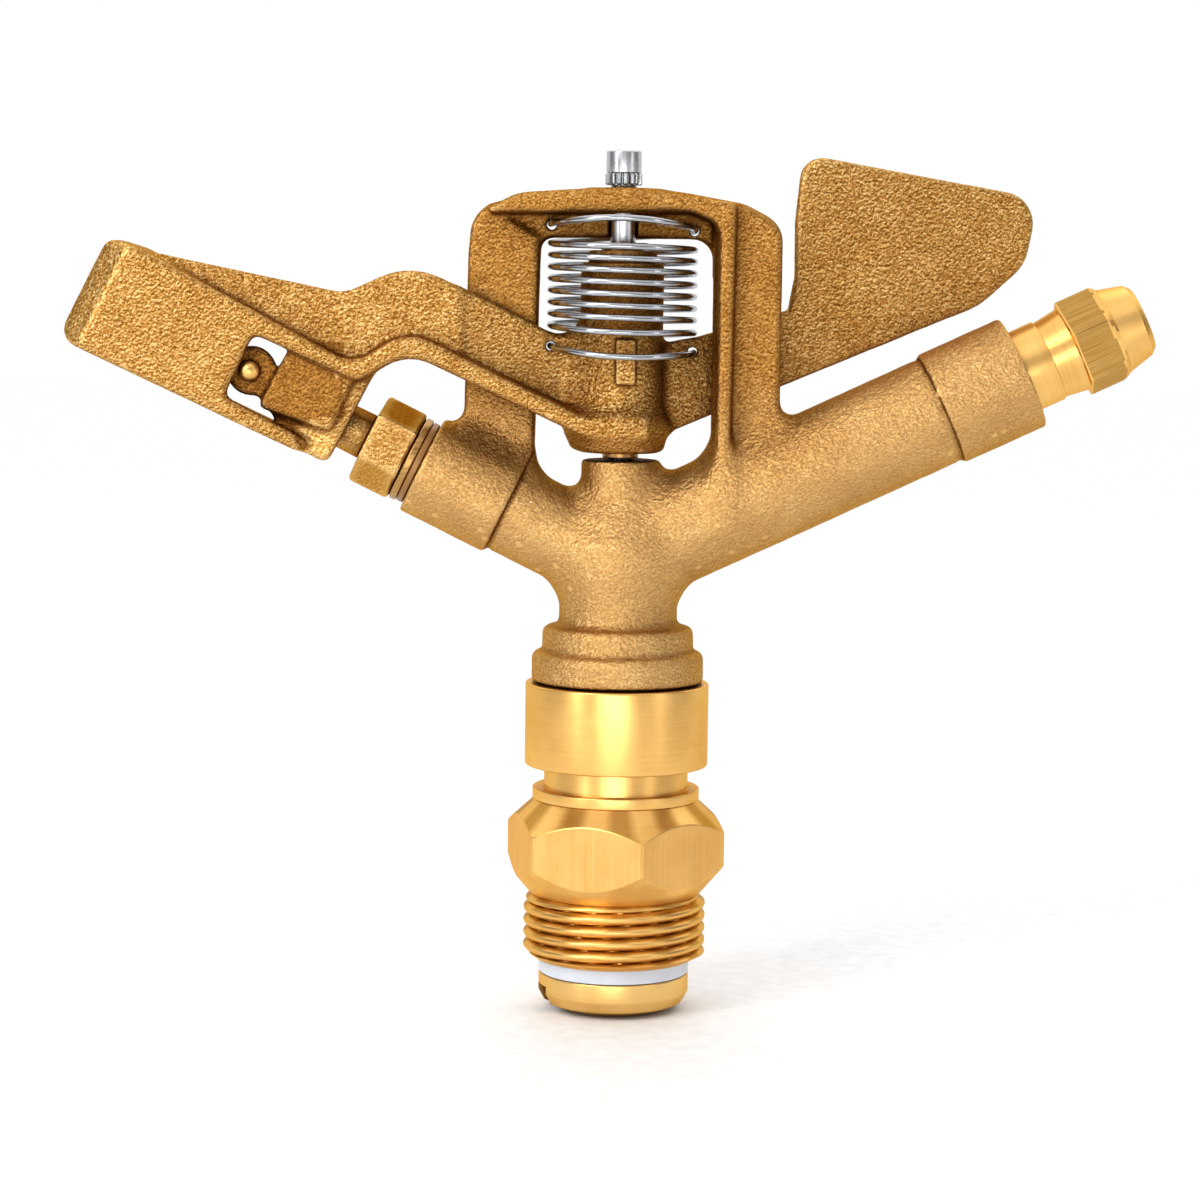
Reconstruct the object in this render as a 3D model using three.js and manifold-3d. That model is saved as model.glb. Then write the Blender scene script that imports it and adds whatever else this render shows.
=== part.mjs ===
// A brass impact sprinkler: a threaded bearing nipple that stays still, a cast head with two barrels
// that turns on it, and a spring-loaded arm that swings on a pin inside the head's bridge.
// Millimetres. +Z is up along the axis of rotation, +X points to the range nozzle, -Y is the front.
// The origin is on the axis, at the bottom face of the stem tube.
import * as THREE from "three";
import { mergeVertices } from "three/addons/utils/BufferGeometryUtils.js";
import Module from "manifold-3d";

const wasm = await Module();
wasm.setup();

// ---- Driving dimensions ----
const GAP = 0.3; // clearance between neighbouring pieces
const ROUND = 32; // sides of the large turned shapes
const ROUND_SMALL = 18; // sides of the small ones

// Stem tube and the washer on its flange
const STEM = { outer: 10.6, bore: 8, flange: 13.9, flangeTop: 5.3, top: 69, socketTop: 70.4 };
const SEAL = { bottom: 5.45, top: 7.85 };

// Bearing nipple: 1 inch pipe thread, hexagon, flange and neck
const NIPPLE = { bottom: 8.15, bore: 10.95, neck: 13.25, top: 48 };
const THREAD = { bottom: 9.2, top: 21.5, crest: 16.8, root: 15.6, end: 14.7, pitch: 2.309 };
const HEX = { bottom: 21.6, top: 38.4, flats: 36, turn: 13.3, edgeBottom: 27.3, edgeTop: 33.7 };
const NIPPLE_FLANGE = { top: 41.1, radius: 15.4 };

// Bearing parts inside the sleeve
const SLEEVE = { bottom: 45.3, top: 60.5, outer: 16.9, inner: 14.9 };
const BEARING_WASHER = { thickness: 1.2, outer: 13.6, inner: 11 };
const BEARING_SPRING = { radius: 12.3, wire: 1.5, turns: 2.5 };

// Body casting
const SPIGOT = { bottom: 55.6, radius: 14.55 };
const LOWER_COLLAR = { bottom: 60.8, top: 66.0, radius: 15.85 };
const UPPER_COLLAR = { top: 70.6, radius: 13.95 };
const NECK = { radius: 11, bore: 7.6 };
const BOSS = { radius: 7.15, top: 101.6 };

// Barrels: distance is measured along the axis from the axis of rotation
const RANGE = { z: 84.0, rise: 25.2, tube: 10.15, collar: 10.75, step: 64.5, end: 80.9, bore: 7 };
const SPREADER = { z: 82.4, rise: 26.1, tube: 8.4, collar: 9.35, step: 23.2, end: 40.4, bore: 5 };
const RANGE_NOZZLE = { shank: 7.7, hexStart: 90.8, hexEnd: 98.6, flats: 16.4, end: 104.7, tip: 6.4, orifice: 3.6 };
const SPREADER_NOZZLE = { shank: 5.6, hexStart: 43.4, hexEnd: 51.3, flats: 14.6, end: 57.4, tip: 3.8, orifice: 2 };
const SOCKET_DEPTH = 11;

// Bridge over the arm
const BRIDGE_TOP = 151.2;
const WINDOW_TOP = 141.6;
const BRIDGE = { webFront: -0.8, webBack: 3, legFront: -3.8, legBack: 0.3, bandFront: -8, bandBack: 3.6 };

// Pin, arm hub and arm
const PIN = { radius: 2.3, bottom: 94, head: 3.4, knurlTop: 153.7, headTop: 157.6 };
const PIN_WASHER = { bottom: 101.9, top: 103.2, radius: 3.35 };
const HUB = { bottom: 103.5, shoulder: 137.4, top: 139.6, tower: 7.6, foot: 9.7, ringTop: 109.2, bore: 4.2 };
const ARM_TURN = 9; // degrees that the arm's plate is turned from the plane of the bridge
const ARM = { web: 2.6, front: -10, plateBack: -7.5, back: 4, straightFront: -6.6, straightBack: -4 };
const ARM_SPRING = {
  radius: 13.15,
  wire: 1.2,
  // height of the wire at some angles, from its upper end behind the bridge to its lower end behind the arm
  heights: [
    [165, 144.3], [180, 144.1], [270, 145.6], [360, 143.3], [540, 140.7], [630, 140.3],
    [3060, 126.0], [3150, 124.9], [3240, 124.9], [3420, 122.4], [3510, 120.4], [3600, 121.2], [3612, 121.4],
  ],
  bridgeHoles: [[-13.0, 144.1], [13.0, 143.25]],
  armHoles: [[-12.92, 122.2], [12.95, 121.3]],
};
const SCREW = { x: -67.2, z: 117.1, radius: 1.8 };

// ---- Shapes ----
const toRadians = THREE.MathUtils.degToRad;

// A solid of revolution about Z from [radius, z] points. A ring's profile closes on itself.
function turned(points, sides = ROUND) {
  const profile = points.map(([r, z]) => new THREE.Vector2(r, z));
  const onAxis = points[0][0] === 0 && points.at(-1)[0] === 0;
  if (!onAxis) profile.push(profile[0].clone());
  return new THREE.LatheGeometry(profile, sides).rotateX(Math.PI / 2);
}

function ring(inner, outer, bottom, top, sides = ROUND) {
  return turned([[inner, bottom], [outer, bottom], [outer, top], [inner, top]], sides);
}

function rod(radius, bottom, top, sides = ROUND_SMALL) {
  return turned([[0, bottom], [radius, bottom], [radius, top], [0, top]], sides);
}

// A closed outline from [x, z, corner radius] points, with its corners rounded by arcs.
function outline(points) {
  const shape = new THREE.Shape();
  points.forEach(([x, z, radius = 0], i) => {
    const corner = new THREE.Vector2(x, z);
    const [px, pz] = points.at(i - 1);
    const [nx, nz] = points[(i + 1) % points.length];
    const toPrevious = new THREE.Vector2(px, pz).sub(corner).normalize();
    const toNext = new THREE.Vector2(nx, nz).sub(corner).normalize();
    const half = Math.acos(THREE.MathUtils.clamp(toPrevious.dot(toNext), -1, 1)) / 2;
    const start = corner.clone().addScaledVector(toPrevious, radius / Math.tan(half));
    if (i === 0) shape.moveTo(start.x, start.y);
    else shape.lineTo(start.x, start.y);
    if (!radius) return;
    const middle = toPrevious.clone().add(toNext).normalize();
    const centre = corner.clone().addScaledVector(middle, radius / Math.sin(half));
    const end = corner.clone().addScaledVector(toNext, radius / Math.tan(half));
    const from = start.clone().sub(centre).angle();
    const to = end.clone().sub(centre).angle();
    const clockwise = toPrevious.cross(toNext) > 0;
    shape.absarc(centre.x, centre.y, radius, from, to, clockwise);
  });
  return shape;
}

// A plate with its outline in the XZ plane, between two values of y.
function plate(points, front, back, holes = []) {
  const shape = outline(points);
  shape.holes = holes;
  const depth = back - front;
  const geometry = new THREE.ExtrudeGeometry(shape, { depth, bevelEnabled: false, curveSegments: 5 });
  return geometry.rotateX(Math.PI / 2).translate(0, back, 0);
}

// A disc whose axis lies along Y.
function disc(radius, x, z, front, back, sides = ROUND_SMALL) {
  return new THREE.CylinderGeometry(radius, radius, back - front, sides).translate(x, (front + back) / 2, z);
}

function hexagon(flats, bottom, top, turn = 0) {
  const radius = flats / Math.sqrt(3);
  const geometry = new THREE.CylinderGeometry(radius, radius, top - bottom, 6).rotateX(Math.PI / 2);
  return geometry.rotateZ(toRadians(turn)).translate(0, 0, (bottom + top) / 2);
}

// A coil about Z. heights holds [angle in degrees, z] pairs, and z runs straight between them.
class Coil extends THREE.Curve {
  constructor(radius, heights) {
    super();
    Object.assign(this, { radius, heights });
  }

  get turns() {
    return (this.heights.at(-1)[0] - this.heights[0][0]) / 360;
  }

  getPoint(t, target = new THREE.Vector3()) {
    const degrees = THREE.MathUtils.lerp(this.heights[0][0], this.heights.at(-1)[0], t);
    const next = Math.max(1, this.heights.findIndex(([angle]) => angle >= degrees));
    const [[a, za], [b, zb]] = [this.heights[next - 1], this.heights[next]];
    const z = THREE.MathUtils.mapLinear(degrees, a, b, za, zb);
    const angle = toRadians(degrees);
    return target.set(this.radius * Math.cos(angle), this.radius * Math.sin(angle), z);
  }
}

// A wire along a curve, with a section of a few sides.
function wire(curve, diameter, steps, sides = 6) {
  const section = new THREE.Shape();
  for (let i = 0; i < sides; i++) {
    const angle = (i / sides) * 2 * Math.PI;
    const [x, y] = [(Math.cos(angle) * diameter) / 2, (Math.sin(angle) * diameter) / 2];
    if (i === 0) section.moveTo(x, y);
    else section.lineTo(x, y);
  }
  return new THREE.ExtrudeGeometry(section, { steps, extrudePath: curve, bevelEnabled: false });
}

// ---- Joining and cutting ----
function solidOf(geometry) {
  const bare = geometry.clone();
  bare.deleteAttribute("normal");
  bare.deleteAttribute("uv");
  const merged = mergeVertices(bare, 1e-4);
  const vertProperties = new Float32Array(merged.attributes.position.array);
  const index = merged.index.array;
  const triangles = [];
  for (let i = 0; i < index.length; i += 3) {
    const [a, b, c] = index.slice(i, i + 3);
    if (a !== b && b !== c && c !== a) triangles.push(a, b, c);
  }
  const triVerts = new Uint32Array(triangles);
  return new wasm.Manifold(new wasm.Mesh({ numProp: 3, vertProperties, triVerts }));
}

function geometryOf(solid) {
  const mesh = solid.getMesh();
  const geometry = new THREE.BufferGeometry();
  geometry.setAttribute("position", new THREE.BufferAttribute(new Float32Array(mesh.vertProperties), 3));
  geometry.setIndex(new THREE.BufferAttribute(new Uint32Array(mesh.triVerts), 1));
  geometry.computeVertexNormals();
  return geometry;
}

function joined(first, ...others) {
  return geometryOf(others.reduce((whole, next) => whole.add(solidOf(next)), solidOf(first)));
}

function cut(first, ...others) {
  return geometryOf(others.reduce((whole, next) => whole.subtract(solidOf(next)), solidOf(first)));
}

function common(first, second) {
  return geometryOf(solidOf(first).intersect(solidOf(second)));
}

// Places a shape made along Z onto a barrel's axis. side is 1 for the range barrel, -1 for the other.
function alongBarrel(geometry, barrel, side) {
  return geometry.rotateY(side * toRadians(90 - barrel.rise)).translate(0, 0, barrel.z);
}
const onRange = (geometry) => alongBarrel(geometry, RANGE, 1);
const onSpreader = (geometry) => alongBarrel(geometry, SPREADER, -1);

// ---- Bearing ----
function bearingNipple() {
  const { crest, root, pitch } = THREAD;
  const outside = [[NIPPLE.bore, NIPPLE.bottom], [THREAD.end, NIPPLE.bottom], [root, THREAD.bottom]];
  for (let z = THREAD.bottom; z + pitch < THREAD.top; z += pitch) {
    outside.push([crest, z + 0.5 * pitch], [root, z + pitch]);
  }
  outside.push([root, HEX.bottom + 1], [NIPPLE.bore, HEX.bottom + 1]);
  const corner = HEX.flats / Math.sqrt(3);
  const chamfered = turned([
    [NIPPLE.bore, HEX.bottom], [root + 0.3, HEX.bottom], [corner, HEX.edgeBottom], [corner, HEX.edgeTop],
    [NIPPLE_FLANGE.radius + 0.3, HEX.top], [NIPPLE.bore, HEX.top],
  ]);
  const hex = common(hexagon(HEX.flats, HEX.bottom, HEX.top, HEX.turn), chamfered);
  const neck = turned([
    [NIPPLE.bore, HEX.top - 1], [NIPPLE_FLANGE.radius, HEX.top - 1],
    [NIPPLE_FLANGE.radius, NIPPLE_FLANGE.top - 0.4], [NIPPLE_FLANGE.radius - 0.4, NIPPLE_FLANGE.top],
    [NIPPLE.neck, NIPPLE_FLANGE.top], [NIPPLE.neck, NIPPLE.top], [NIPPLE.bore, NIPPLE.top],
  ]);
  return joined(turned(outside), hex, neck);
}

function stemTube() {
  const tube = turned([
    [STEM.bore, 0], [11.6, 0], [13.2, 0.7], [STEM.flange, 2.4], [STEM.flange, STEM.flangeTop],
    [STEM.outer, STEM.flangeTop], [STEM.outer, STEM.top], [STEM.bore, STEM.top],
  ]);
  const notch = new THREE.BoxGeometry(1.6, 1.8, 3.4).translate(-STEM.flange + 0.4, -3.6, 1.7);
  return cut(tube, notch);
}

const sealWasher = () => ring(STEM.outer + GAP, STEM.flange, SEAL.bottom, SEAL.top);

// ---- Pieces inside the sleeve ----
const washerZ = {
  lower: NIPPLE.top + GAP / 2,
  upper: SPIGOT.bottom - BEARING_WASHER.thickness - GAP / 2,
};

function bearingWasher(bottom) {
  return ring(BEARING_WASHER.inner, BEARING_WASHER.outer, bottom, bottom + BEARING_WASHER.thickness);
}

function bearingSpring() {
  const { radius, wire: thickness, turns } = BEARING_SPRING;
  const bottom = washerZ.lower + BEARING_WASHER.thickness + thickness / 2 + 0.15;
  const top = washerZ.upper - thickness / 2 - 0.15;
  return wire(new Coil(radius, [[0, bottom], [360 * turns, top]]), thickness, Math.round(turns * 24), 8);
}

function bearingSleeve() {
  const { inner, outer, bottom, top } = SLEEVE;
  return turned([
    [inner, bottom], [outer - 0.4, bottom], [outer, bottom + 0.4],
    [outer, top - 0.4], [outer - 0.4, top], [inner, top],
  ]);
}

// ---- Body casting ----
function barrelSolid({ tube, collar, step, end }) {
  return turned([
    [0, 0], [tube, 0], [tube, step - 0.8], [collar, step], [collar, end - 0.5], [collar - 0.5, end], [0, end],
  ]);
}

function barrelBore({ bore, end }, shank, start) {
  return turned([
    [0, start], [bore, start], [bore, end - SOCKET_DEPTH],
    [shank + GAP, end - SOCKET_DEPTH], [shank + GAP, end + 1], [0, end + 1],
  ], ROUND_SMALL);
}

function bodyColumn() {
  return turned([
    [0, SPIGOT.bottom], [SPIGOT.radius, SPIGOT.bottom], [SPIGOT.radius, LOWER_COLLAR.bottom],
    [LOWER_COLLAR.radius, LOWER_COLLAR.bottom], [LOWER_COLLAR.radius, LOWER_COLLAR.top - 1],
    [LOWER_COLLAR.radius - 0.9, LOWER_COLLAR.top], [UPPER_COLLAR.radius, LOWER_COLLAR.top + 0.6],
    [UPPER_COLLAR.radius, UPPER_COLLAR.top - 1], [UPPER_COLLAR.radius - 1, UPPER_COLLAR.top],
    [NECK.radius + 0.6, UPPER_COLLAR.top + 1.8], [NECK.radius, 74.5], [NECK.radius + 0.4, 77],
    [NECK.radius + 2.4, 80], [NECK.radius + 2.4, 88], [BOSS.radius + 1.4, 97],
    [BOSS.radius, 98.6], [BOSS.radius, BOSS.top], [0, BOSS.top],
  ]);
}

function bridge() {
  const { webFront, webBack, legFront, legBack, bandFront, bandBack } = BRIDGE;
  const leftLegAndTop = plate(
    [[-28.9, 96], [-28.1, 138], [-27.4, 146.8, 6.5], [-15, 150.0, 12], [7, 150.9, 40], [22.3, 148.1, 10],
      [28.9, 144.4, 5], [28.9, 134, 2], [16.2, 134], [16.2, WINDOW_TOP, 3.5], [-14.8, WINDOW_TOP, 2], [-15.9, 96]],
    webFront, webBack,
  );
  const rightLeg = plate(
    [[16.4, 94], [16.4, 148.8], [22.3, 147.8, 10], [28.9, 144.1, 5], [28.9, 112.5, 3.5], [33.5, 109], [31, 94]],
    legFront, legBack,
  );
  const rib = plate([[17.2, 97], [17.2, 149.0], [20.4, 148.5], [19.8, 97]], bandFront, legFront + 1);
  const band = plate(
    [[-23.5, 146.0], [-26.0, 146.2, 0.6], [-19, 149.9, 8], [0, 151.2, 60], [20.4, 148.5], [20.4, 144],
      [17.2, 141], [17.2, 144.4, 3.2], [12, 146.4]],
    bandFront, bandBack,
  );
  const boss = rod(7.5, 146.2, BRIDGE_TOP);
  return [leftLegAndTop, rightLeg, rib, band, boss];
}

function bodyCasting() {
  const range = onRange(barrelSolid(RANGE));
  const spreader = onSpreader(barrelSolid(SPREADER));
  const castShape = joined(bodyColumn(), range, spreader, ...bridge());
  const stemSocket = rod(STEM.outer + GAP, SPIGOT.bottom - 1, STEM.socketTop, ROUND);
  const waterway = rod(NECK.bore, SPIGOT.bottom, 86);
  const rangeBore = onRange(barrelBore(RANGE, RANGE_NOZZLE.shank, 0));
  const spreaderBore = onSpreader(barrelBore(SPREADER, SPREADER_NOZZLE.shank, 0));
  const pinHoles = rod(PIN.radius + GAP, PIN.bottom - GAP, PIN.headTop);
  const springHoles = ARM_SPRING.bridgeHoles.map(([x, z]) =>
    disc(1.3, x, z, BRIDGE.webFront - 1, BRIDGE.webBack + 1, 12),
  );
  return cut(castShape, stemSocket, waterway, rangeBore, spreaderBore, pinHoles, ...springHoles);
}

// ---- Nozzles ----
function rangeNozzle() {
  const { shank, hexStart, hexEnd, flats, end, tip, orifice } = RANGE_NOZZLE;
  const bodyShape = turned([
    [0, RANGE.end - 9], [shank, RANGE.end - 9], [shank, hexStart + 1], [0, hexStart + 1],
  ], 32);
  const cone = turned([
    [0, hexEnd - 1], [flats / 2, hexEnd - 1], [flats / 2, hexEnd + 0.3],
    [tip + 0.5, end - 1], [tip - 0.6, end], [0, end],
  ], 32);
  const bore = turned([
    [0, RANGE.end - 10], [shank - 1.6, RANGE.end - 10], [orifice, end - 6], [orifice, end + 1], [0, end + 1],
  ], ROUND_SMALL);
  return onRange(cut(joined(bodyShape, hexagon(flats, hexStart, hexEnd, 12), cone), bore));
}

function spreaderNozzle() {
  const { shank, hexStart, hexEnd, flats, end, tip, orifice } = SPREADER_NOZZLE;
  const shankShape = rod(shank, SPREADER.end - 8, hexStart + 1);
  const tipShape = turned([[0, hexEnd - 1], [tip, hexEnd - 1], [tip, end - 0.4], [tip - 0.4, end], [0, end]], 20);
  const bore = turned([
    [0, SPREADER.end - 9], [shank - 1.4, SPREADER.end - 9], [orifice, end - 5], [orifice, end + 1], [0, end + 1],
  ], 20);
  return onSpreader(cut(joined(shankShape, hexagon(flats, hexStart, hexEnd), tipShape), bore));
}

function nozzleWasher(barrel, shank, place, thickness, outer) {
  return place(ring(shank + GAP, outer, barrel.end + 0.2, barrel.end + 0.2 + thickness, ROUND_SMALL));
}

// Lowest and highest place of the seal at the bottom of a barrel's socket
const sealAt = ({ end }) => [end - SOCKET_DEPTH + 0.2, end - 9.2];

// Four thin vanes in a ring that keep the stream from spinning in the range barrel
function streamStraightener() {
  const [start, end, radius] = [40, 58, RANGE.bore - GAP];
  const tube = ring(radius - 0.7, radius, start, end, ROUND_SMALL);
  const vanes = [0, 90].map((turn) =>
    new THREE.BoxGeometry(2 * radius - 0.8, 0.8, end - start).rotateZ(toRadians(turn)).translate(0, 0, (start + end) / 2),
  );
  return onRange(joined(tube, ...vanes));
}

// ---- Pin and arm ----
function fulcrumPin() {
  const { radius, bottom, head, knurlTop, headTop } = PIN;
  const start = BRIDGE_TOP + GAP;
  const shaft = turned([
    [0, bottom], [radius, bottom], [radius, start], [head, start], [head, knurlTop],
    [head - 0.25, knurlTop + GAP], [head - 0.25, headTop - 0.4], [head - 0.6, headTop], [0, headTop],
  ]);
  const slot = new THREE.BoxGeometry(2 * head + 1, 1, 0.8).translate(0, 0, headTop);
  return cut(shaft, slot);
}

function bushing(bottom, top, flangeBottom, flangeTop) {
  const tube = ring(PIN.radius + GAP, HUB.bore - GAP, bottom, top, ROUND_SMALL);
  return joined(tube, ring(PIN.radius + GAP, 4.6, flangeBottom, flangeTop, ROUND_SMALL));
}

function armHub() {
  const { bottom, shoulder, top, tower } = HUB;
  return turned([
    [0, bottom], [tower, bottom], [tower, shoulder], [6.3, shoulder], [6.3, top], [0, top],
  ]);
}

// The wide foot of the hub, a little off the axis towards the spoon
function armHubFoot() {
  const { bottom, foot, ringTop } = HUB;
  return turned([
    [0, bottom], [foot - 1.6, bottom], [foot - 0.4, bottom + 0.8], [foot, bottom + 3], [foot, ringTop], [0, ringTop],
  ]).translate(-0.8, 0, 0);
}

// The arm's front frame: the flange from the hub out, the spoon's face and the bar under its window
function armFrame() {
  return [
    [5, 109.2], [-5.5, 109.2, 10], [-38.6, 125.0, 8], [-48.3, 118.7, 6], [-86.5, 138.9, 3],
    [-92.9, 140.9, 2.2], [-102.0, 122.7, 3.2], [-57.7, 102.3], [-58.3, 105.8], [-71.3, 112.7, 1],
    [-66.2, 123.6, 1], [-47.6, 115.7, 3], [-38.5, 121.2, 8], [-6.5, 106.2, 6], [5, 106.2],
  ];
}

function swingArm() {
  const { front, plateBack, back, straightFront, straightBack } = ARM;
  const frame = plate(armFrame(), front, plateBack);
  const flange = common(
    plate(armFrame(), front, -2.4),
    plate([[-56, 100], [0, 100], [0, 130], [-56, 130]], front - 1, 0),
  );
  const channel = cut(
    plate(
      [[-47.8, 118.4], [-86.5, 138.9, 3], [-92.9, 140.9, 2.2], [-102.0, 122.7, 3.2],
        [-57.7, 102.3]],
      plateBack - 1, back,
    ),
    plate(
      [[-44, 112.5], [-47.6, 115.7], [-66.4, 125.0], [-86.5, 135.6], [-90.4, 136.4, 1.5], [-97.3, 123.4, 1.5],
        [-56.4, 104.6], [-50, 101]],
      plateBack - 2, back + 1,
    ),
  );
  const straightWeb = plate(
    [[-28.5, 118], [-28.5, 132.4], [-38.5, 137.0, 13], [-50.1, 131.4, 6], [-90.8, 139.5],
      [-86, 137], [-48.3, 117], [-38.6, 123]],
    straightFront, straightBack,
  );
  const turnedWeb = plate(
    [[0, 107], [0, 121.5], [-13.2, 124.8, 6], [-30.7, 133.4], [-30.7, 118.5]],
    -ARM.web / 2, ARM.web / 2,
  ).rotateZ(toRadians(ARM_TURN));
  const tongue = plate(
    [[-60.6, 118.2], [-60.6, 122], [-44.3, 117.8], [-53.5, 100.4, 2], [-58, 102.5], [-66.0, 112.6]],
    -6.6, -4.6,
  );
  const eye = disc(4.7, SCREW.x + 0.3, SCREW.z, -6.6, -4.6);
  const vane = plate(
    [[-60.4, 121], [-48.2, 115.9], [-52.3, 106, 1.5], [-65.8, 110.6]],
    -8.2, -6.2,
  );
  const counterweight = plate(
    [[0, 105.5], [9, 106.6], [62, 128.3], [66.9, 130.2, 12], [75.2, 137.8, 8], [77.8, 150.2, 6],
      [32.9, 157.6, 4], [31.9, 145], [32.0, 135.2], [30.9, 129.2], [14, 124.1], [0, 121.5]],
    -ARM.web / 2, ARM.web / 2,
  ).rotateZ(toRadians(ARM_TURN));
  const lug = new THREE.BoxGeometry(3.7, 2.2, 8.2).translate(0.7, -HUB.tower, 119.6);
  const whole = joined(
    armHub(), armHubFoot(), frame, flange, channel, straightWeb, turnedWeb, tongue, eye, vane, counterweight, lug,
  );
  const pinBore = rod(PIN.radius + 2 * GAP, HUB.bottom - 1, HUB.top + 1);
  const lowerSocket = rod(HUB.bore, HUB.bottom - 1, HUB.bottom + 12);
  const upperSocket = rod(HUB.bore, HUB.top - 12, HUB.top + 1);
  const screwHole = disc(SCREW.radius + GAP, SCREW.x, SCREW.z, -9, -3, 16);
  const springHoles = ARM_SPRING.armHoles.map(([x, z]) => disc(1.2, x, z, -6, 6, 12));
  return cut(whole, pinBore, lowerSocket, upperSocket, screwHole, ...springHoles);
}

function armSpring() {
  const coil = new Coil(ARM_SPRING.radius, ARM_SPRING.heights);
  return wire(coil, ARM_SPRING.wire, Math.round(coil.turns * 16));
}

function diffuserScrew() {
  const [tip, end] = [-9.8, -1.8];
  const shape = turned([[0, tip], [SCREW.radius, tip + 2], [SCREW.radius, end], [0, end]], 16);
  return shape.rotateX(-Math.PI / 2).translate(SCREW.x, 0, SCREW.z);
}

function diffuserNut() {
  const nut = cut(hexagon(6, 0, 1.8), rod(SCREW.radius + GAP, -1, 3, 16));
  return nut.rotateX(-Math.PI / 2).translate(SCREW.x, -4.6 + GAP, SCREW.z);
}

// ---- Materials ----
const MATERIALS = {
  cast: { color: 0xb07a35, roughness: 0.62, metalness: 0.9 },
  turnedBrass: { color: 0xe3b45c, roughness: 0.25, metalness: 1 },
  steel: { color: 0xa8acb0, roughness: 0.3, metalness: 1 },
  bronze: { color: 0x9c6a2c, roughness: 0.4, metalness: 0.9 },
  white: { color: 0xe9edf2, roughness: 0.5, metalness: 0 },
  rubber: { color: 0x2b1a14, roughness: 0.8, metalness: 0 },
};

// ---- Assembly ----
const PIECES = [
  ["bearing_nipple", bearingNipple(), "turnedBrass"],
  ["stem_tube", stemTube(), "turnedBrass"],
  ["seal_washer", sealWasher(), "white"],
  ["bearing_washer_lower", bearingWasher(washerZ.lower), "bronze"],
  ["bearing_washer_upper", bearingWasher(washerZ.upper), "bronze"],
  ["bearing_spring", bearingSpring(), "steel"],
  ["bearing_sleeve", bearingSleeve(), "turnedBrass"],
  ["body_casting", bodyCasting(), "cast"],
  ["stem_gasket", ring(STEM.bore, STEM.outer, STEM.top + 0.15, STEM.socketTop - 0.15), "rubber"],
  ["range_nozzle", rangeNozzle(), "turnedBrass"],
  ["range_nozzle_seal", onRange(ring(5.2, RANGE_NOZZLE.shank, ...sealAt(RANGE), ROUND_SMALL)), "rubber"],
  ["spreader_nozzle", spreaderNozzle(), "cast"],
  ["spreader_nozzle_washer", nozzleWasher(SPREADER, SPREADER_NOZZLE.shank, onSpreader, 1.1, 7.9), "rubber"],
  ["spreader_lock_ring", nozzleWasher({ end: SPREADER.end + 1.4 }, SPREADER_NOZZLE.shank, onSpreader, 1.1, 8.2), "bronze"],
  ["stream_straightener", streamStraightener(), "white"],
  ["fulcrum_pin", fulcrumPin(), "steel"],
  ["pin_washer", ring(PIN.radius + GAP, PIN_WASHER.radius, PIN_WASHER.bottom, PIN_WASHER.top), "bronze"],
  ["swing_arm", swingArm(), "cast"],
  ["arm_bushing_lower", ring(PIN.radius + GAP, HUB.bore - GAP, HUB.bottom + 0.1, HUB.bottom + 11), "bronze"],
  ["arm_bushing_upper", bushing(HUB.top - 11, HUB.top + 0.9, HUB.top + GAP, HUB.top + 1.4), "bronze"],
  ["arm_spring", armSpring(), "steel"],
  ["diffuser_screw", diffuserScrew(), "turnedBrass"],
  ["diffuser_nut", diffuserNut(), "turnedBrass"],
];

const group = new THREE.Group();
for (const [name, geometry, material] of PIECES) {
  const mesh = new THREE.Mesh(geometry, new THREE.MeshStandardMaterial(MATERIALS[material]));
  mesh.name = name;
  group.add(mesh);
}

export default group;
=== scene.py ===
import math

import bpy
import numpy as np
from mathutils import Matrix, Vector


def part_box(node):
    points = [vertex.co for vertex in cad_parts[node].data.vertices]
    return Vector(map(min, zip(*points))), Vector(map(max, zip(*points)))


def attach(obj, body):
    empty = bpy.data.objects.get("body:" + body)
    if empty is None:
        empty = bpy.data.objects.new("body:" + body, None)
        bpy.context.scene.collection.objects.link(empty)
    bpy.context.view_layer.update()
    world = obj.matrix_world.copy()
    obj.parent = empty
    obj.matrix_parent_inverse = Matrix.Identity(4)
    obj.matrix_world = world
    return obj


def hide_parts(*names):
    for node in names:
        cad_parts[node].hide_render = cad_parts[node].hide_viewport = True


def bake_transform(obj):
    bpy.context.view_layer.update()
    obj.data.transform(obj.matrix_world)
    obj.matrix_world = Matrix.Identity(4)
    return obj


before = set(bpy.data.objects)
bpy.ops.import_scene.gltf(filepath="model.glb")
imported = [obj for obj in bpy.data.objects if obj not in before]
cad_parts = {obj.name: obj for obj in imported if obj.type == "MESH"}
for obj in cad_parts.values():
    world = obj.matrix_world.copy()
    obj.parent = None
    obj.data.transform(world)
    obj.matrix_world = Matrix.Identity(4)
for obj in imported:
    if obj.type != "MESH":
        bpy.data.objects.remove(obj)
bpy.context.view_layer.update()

import openvdb
from mathutils import Matrix, Vector, noise

MM = 0.001
CELL = 0.4  # spacing of the distance grids


def box_mm(node):
    low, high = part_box(node)
    return np.array(low) / MM, np.array(high) / MM


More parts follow.
